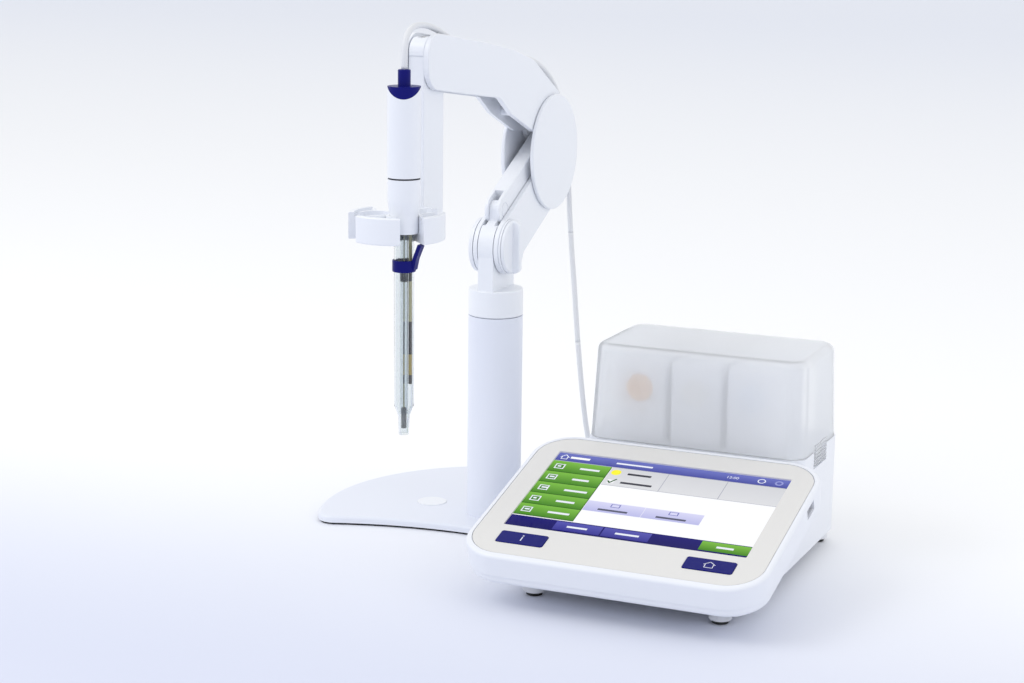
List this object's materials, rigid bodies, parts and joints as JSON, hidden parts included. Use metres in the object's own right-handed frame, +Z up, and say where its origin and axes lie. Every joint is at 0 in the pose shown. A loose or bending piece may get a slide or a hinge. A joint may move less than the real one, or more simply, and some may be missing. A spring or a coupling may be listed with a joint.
{
  "type": "ph_meter",
  "caption": "Touch-screen pH meter with plug-in measuring modules under a frosted hood, and a docked balanced electrode arm holding one combination pH sensor.",
  "frame": {"origin": "where the electrode arm's column axis meets the desk", "axes": "+Z up, +X to the user's right, +Y away from the user"},
  "size_m": [0.3562, 0.2998, 0.34],
  "materials": {
    "housing_white": "satin",
    "arm_white": "satin",
    "base_white": "satin powder coat",
    "panel_grey": "matte film",
    "hood_frosted": "frosted translucent",
    "module_white": "fine texture",
    "mark_orange": "printed",
    "navy": "satin",
    "display_glass": "clear over a lit display",
    "sensor_glass": "clear",
    "board_green": "solder mask",
    "dark_plastic": "moulded",
    "rubber_black": "matte",
    "steel": "ground",
    "nickel": "nickel plate",
    "element_dark": "coated",
    "cable_white": "matte jacket"
  },
  "bodies": {
    "root": {"tray_shell": "housing_white", "tray_floor": "housing_white", "front_panel": "panel_grey", "touch_glass": "display_glass", "lcd_panel": "dark_plastic", "main_board": "board_green", "key_switches": "dark_plastic", "side_usb_port": "nickel", "body_shell": "housing_white", "power_inlet": "dark_plastic", "rear_ports": "nickel", "module_bay": "housing_white", "module_case_left": "module_white", "module_case_middle": "module_white", "module_case_right": "module_white", "module_marks": "mark_orange", "sensor_sockets": "nickel", "backplane_board": "board_green", "feet": "rubber_black", "case_screws": "steel", "stand_base": "base_white", "base_mat": "rubber_black", "socket_cap": "arm_white", "dock_tongue": "arm_white", "column_tube": "base_white", "column_screw": "steel", "swivel_bush": "dark_plastic", "cable_coil": "cable_white", "cable_tail": "cable_white", "cable_plug": "dark_plastic", "cable_drop_lower": "cable_white"},
    "info_key": {"info_key": "navy"},
    "home_key": {"home_key": "navy"},
    "hood": {"hood": "hood_frosted"},
    "arm_head": {"arm_head": "arm_white", "drum_washers": "arm_white", "knob_bolt": "steel", "cable_drop_middle": "cable_white"},
    "tension_knob": {"tension_knob": "arm_white"},
    "lower_arm": {"lower_arm": "arm_white", "cable_drop_upper": "cable_white"},
    "lower_link": {"lower_link": "arm_white"},
    "elbow": {"elbow_disc_left": "arm_white", "elbow_disc_right": "arm_white", "elbow_pins": "steel"},
    "upper_arm": {"upper_arm_left": "arm_white", "upper_arm_right": "arm_white", "cable_elbow": "cable_white"},
    "upper_link": {"upper_link": "steel"},
    "hanger": {"hanger": "arm_white", "wrist_pins": "steel", "sensor_holder": "arm_white", "sensor_boot": "navy", "sensor_head": "arm_white", "glass_shaft": "sensor_glass", "inner_tube": "sensor_glass", "reference_element": "element_dark", "cable_wrist": "cable_white"},
    "closure_ring": {"closure_ring": "navy"}
  },
  "joints": [
    {"name": "info_key_press", "type": "slide", "parent": "root", "child": "info_key", "axis": [0, 0.2634, -0.9647], "range_m": [0, 0.0005], "stiffness_N_per_m": 200, "springref_m": -0.004},
    {"name": "home_key_press", "type": "slide", "parent": "root", "child": "home_key", "axis": [0, 0.2634, -0.9647], "range_m": [0, 0.0005], "stiffness_N_per_m": 200, "springref_m": -0.004},
    {"name": "hood_lift", "type": "slide", "parent": "root", "child": "hood", "axis": [0, 0, 1], "range_m": [0, 0.075]},
    {"name": "arm_swivel", "type": "hinge", "parent": "root", "child": "arm_head", "pos_m": [0, 0, 0.142], "axis": [0, 0, 1], "range_deg": [-50, 5], "deforming": ["cable_drop_lower"]},
    {"name": "tension_knob_turn", "type": "hinge", "parent": "arm_head", "child": "tension_knob", "pos_m": [0.0138, 0, 0.188], "axis": [1, 0, 0], "range_deg": [-180, 180]},
    {"name": "lower_arm_tilt", "type": "hinge", "parent": "arm_head", "child": "lower_arm", "pos_m": [0, 0, 0.188], "axis": [1, 0, 0], "range_deg": [-16, 28], "deforming": ["cable_drop_middle"]},
    {"name": "lower_link_tilt", "type": "hinge", "parent": "arm_head", "child": "lower_link", "pos_m": [0, 0.001, 0.212], "axis": [1, 0, 0], "range_deg": [-16, 28]},
    {"name": "elbow_level", "type": "hinge", "parent": "lower_arm", "child": "elbow", "pos_m": [0, 0.069, 0.223], "axis": [1, 0, 0], "range_deg": [-28, 16], "deforming": ["cable_drop_upper"]},
    {"name": "upper_arm_tilt", "type": "hinge", "parent": "elbow", "child": "upper_arm", "pos_m": [0, 0.071, 0.263], "axis": [1, 0, 0], "range_deg": [-24, 18], "deforming": ["cable_elbow"]},
    {"name": "upper_link_tilt", "type": "hinge", "parent": "elbow", "child": "upper_link", "pos_m": [0, 0.076, 0.273], "axis": [1, 0, 0], "range_deg": [-24, 18]},
    {"name": "wrist_level", "type": "hinge", "parent": "upper_arm", "child": "hanger", "pos_m": [0, -0.111, 0.316], "axis": [1, 0, 0], "range_deg": [-18, 24], "deforming": ["cable_wrist"]},
    {"name": "closure_slide", "type": "slide", "parent": "hanger", "child": "closure_ring", "axis": [0, 0, -1], "range_m": [0, 0.005]}
  ],
  "couplings": [
    {"joint": "lower_link_tilt", "follows": "lower_arm_tilt", "ratio": 1},
    {"joint": "elbow_level", "follows": "lower_arm_tilt", "ratio": -1},
    {"joint": "upper_link_tilt", "follows": "upper_arm_tilt", "ratio": 1},
    {"joint": "wrist_level", "follows": "upper_arm_tilt", "ratio": -1}
  ]
}
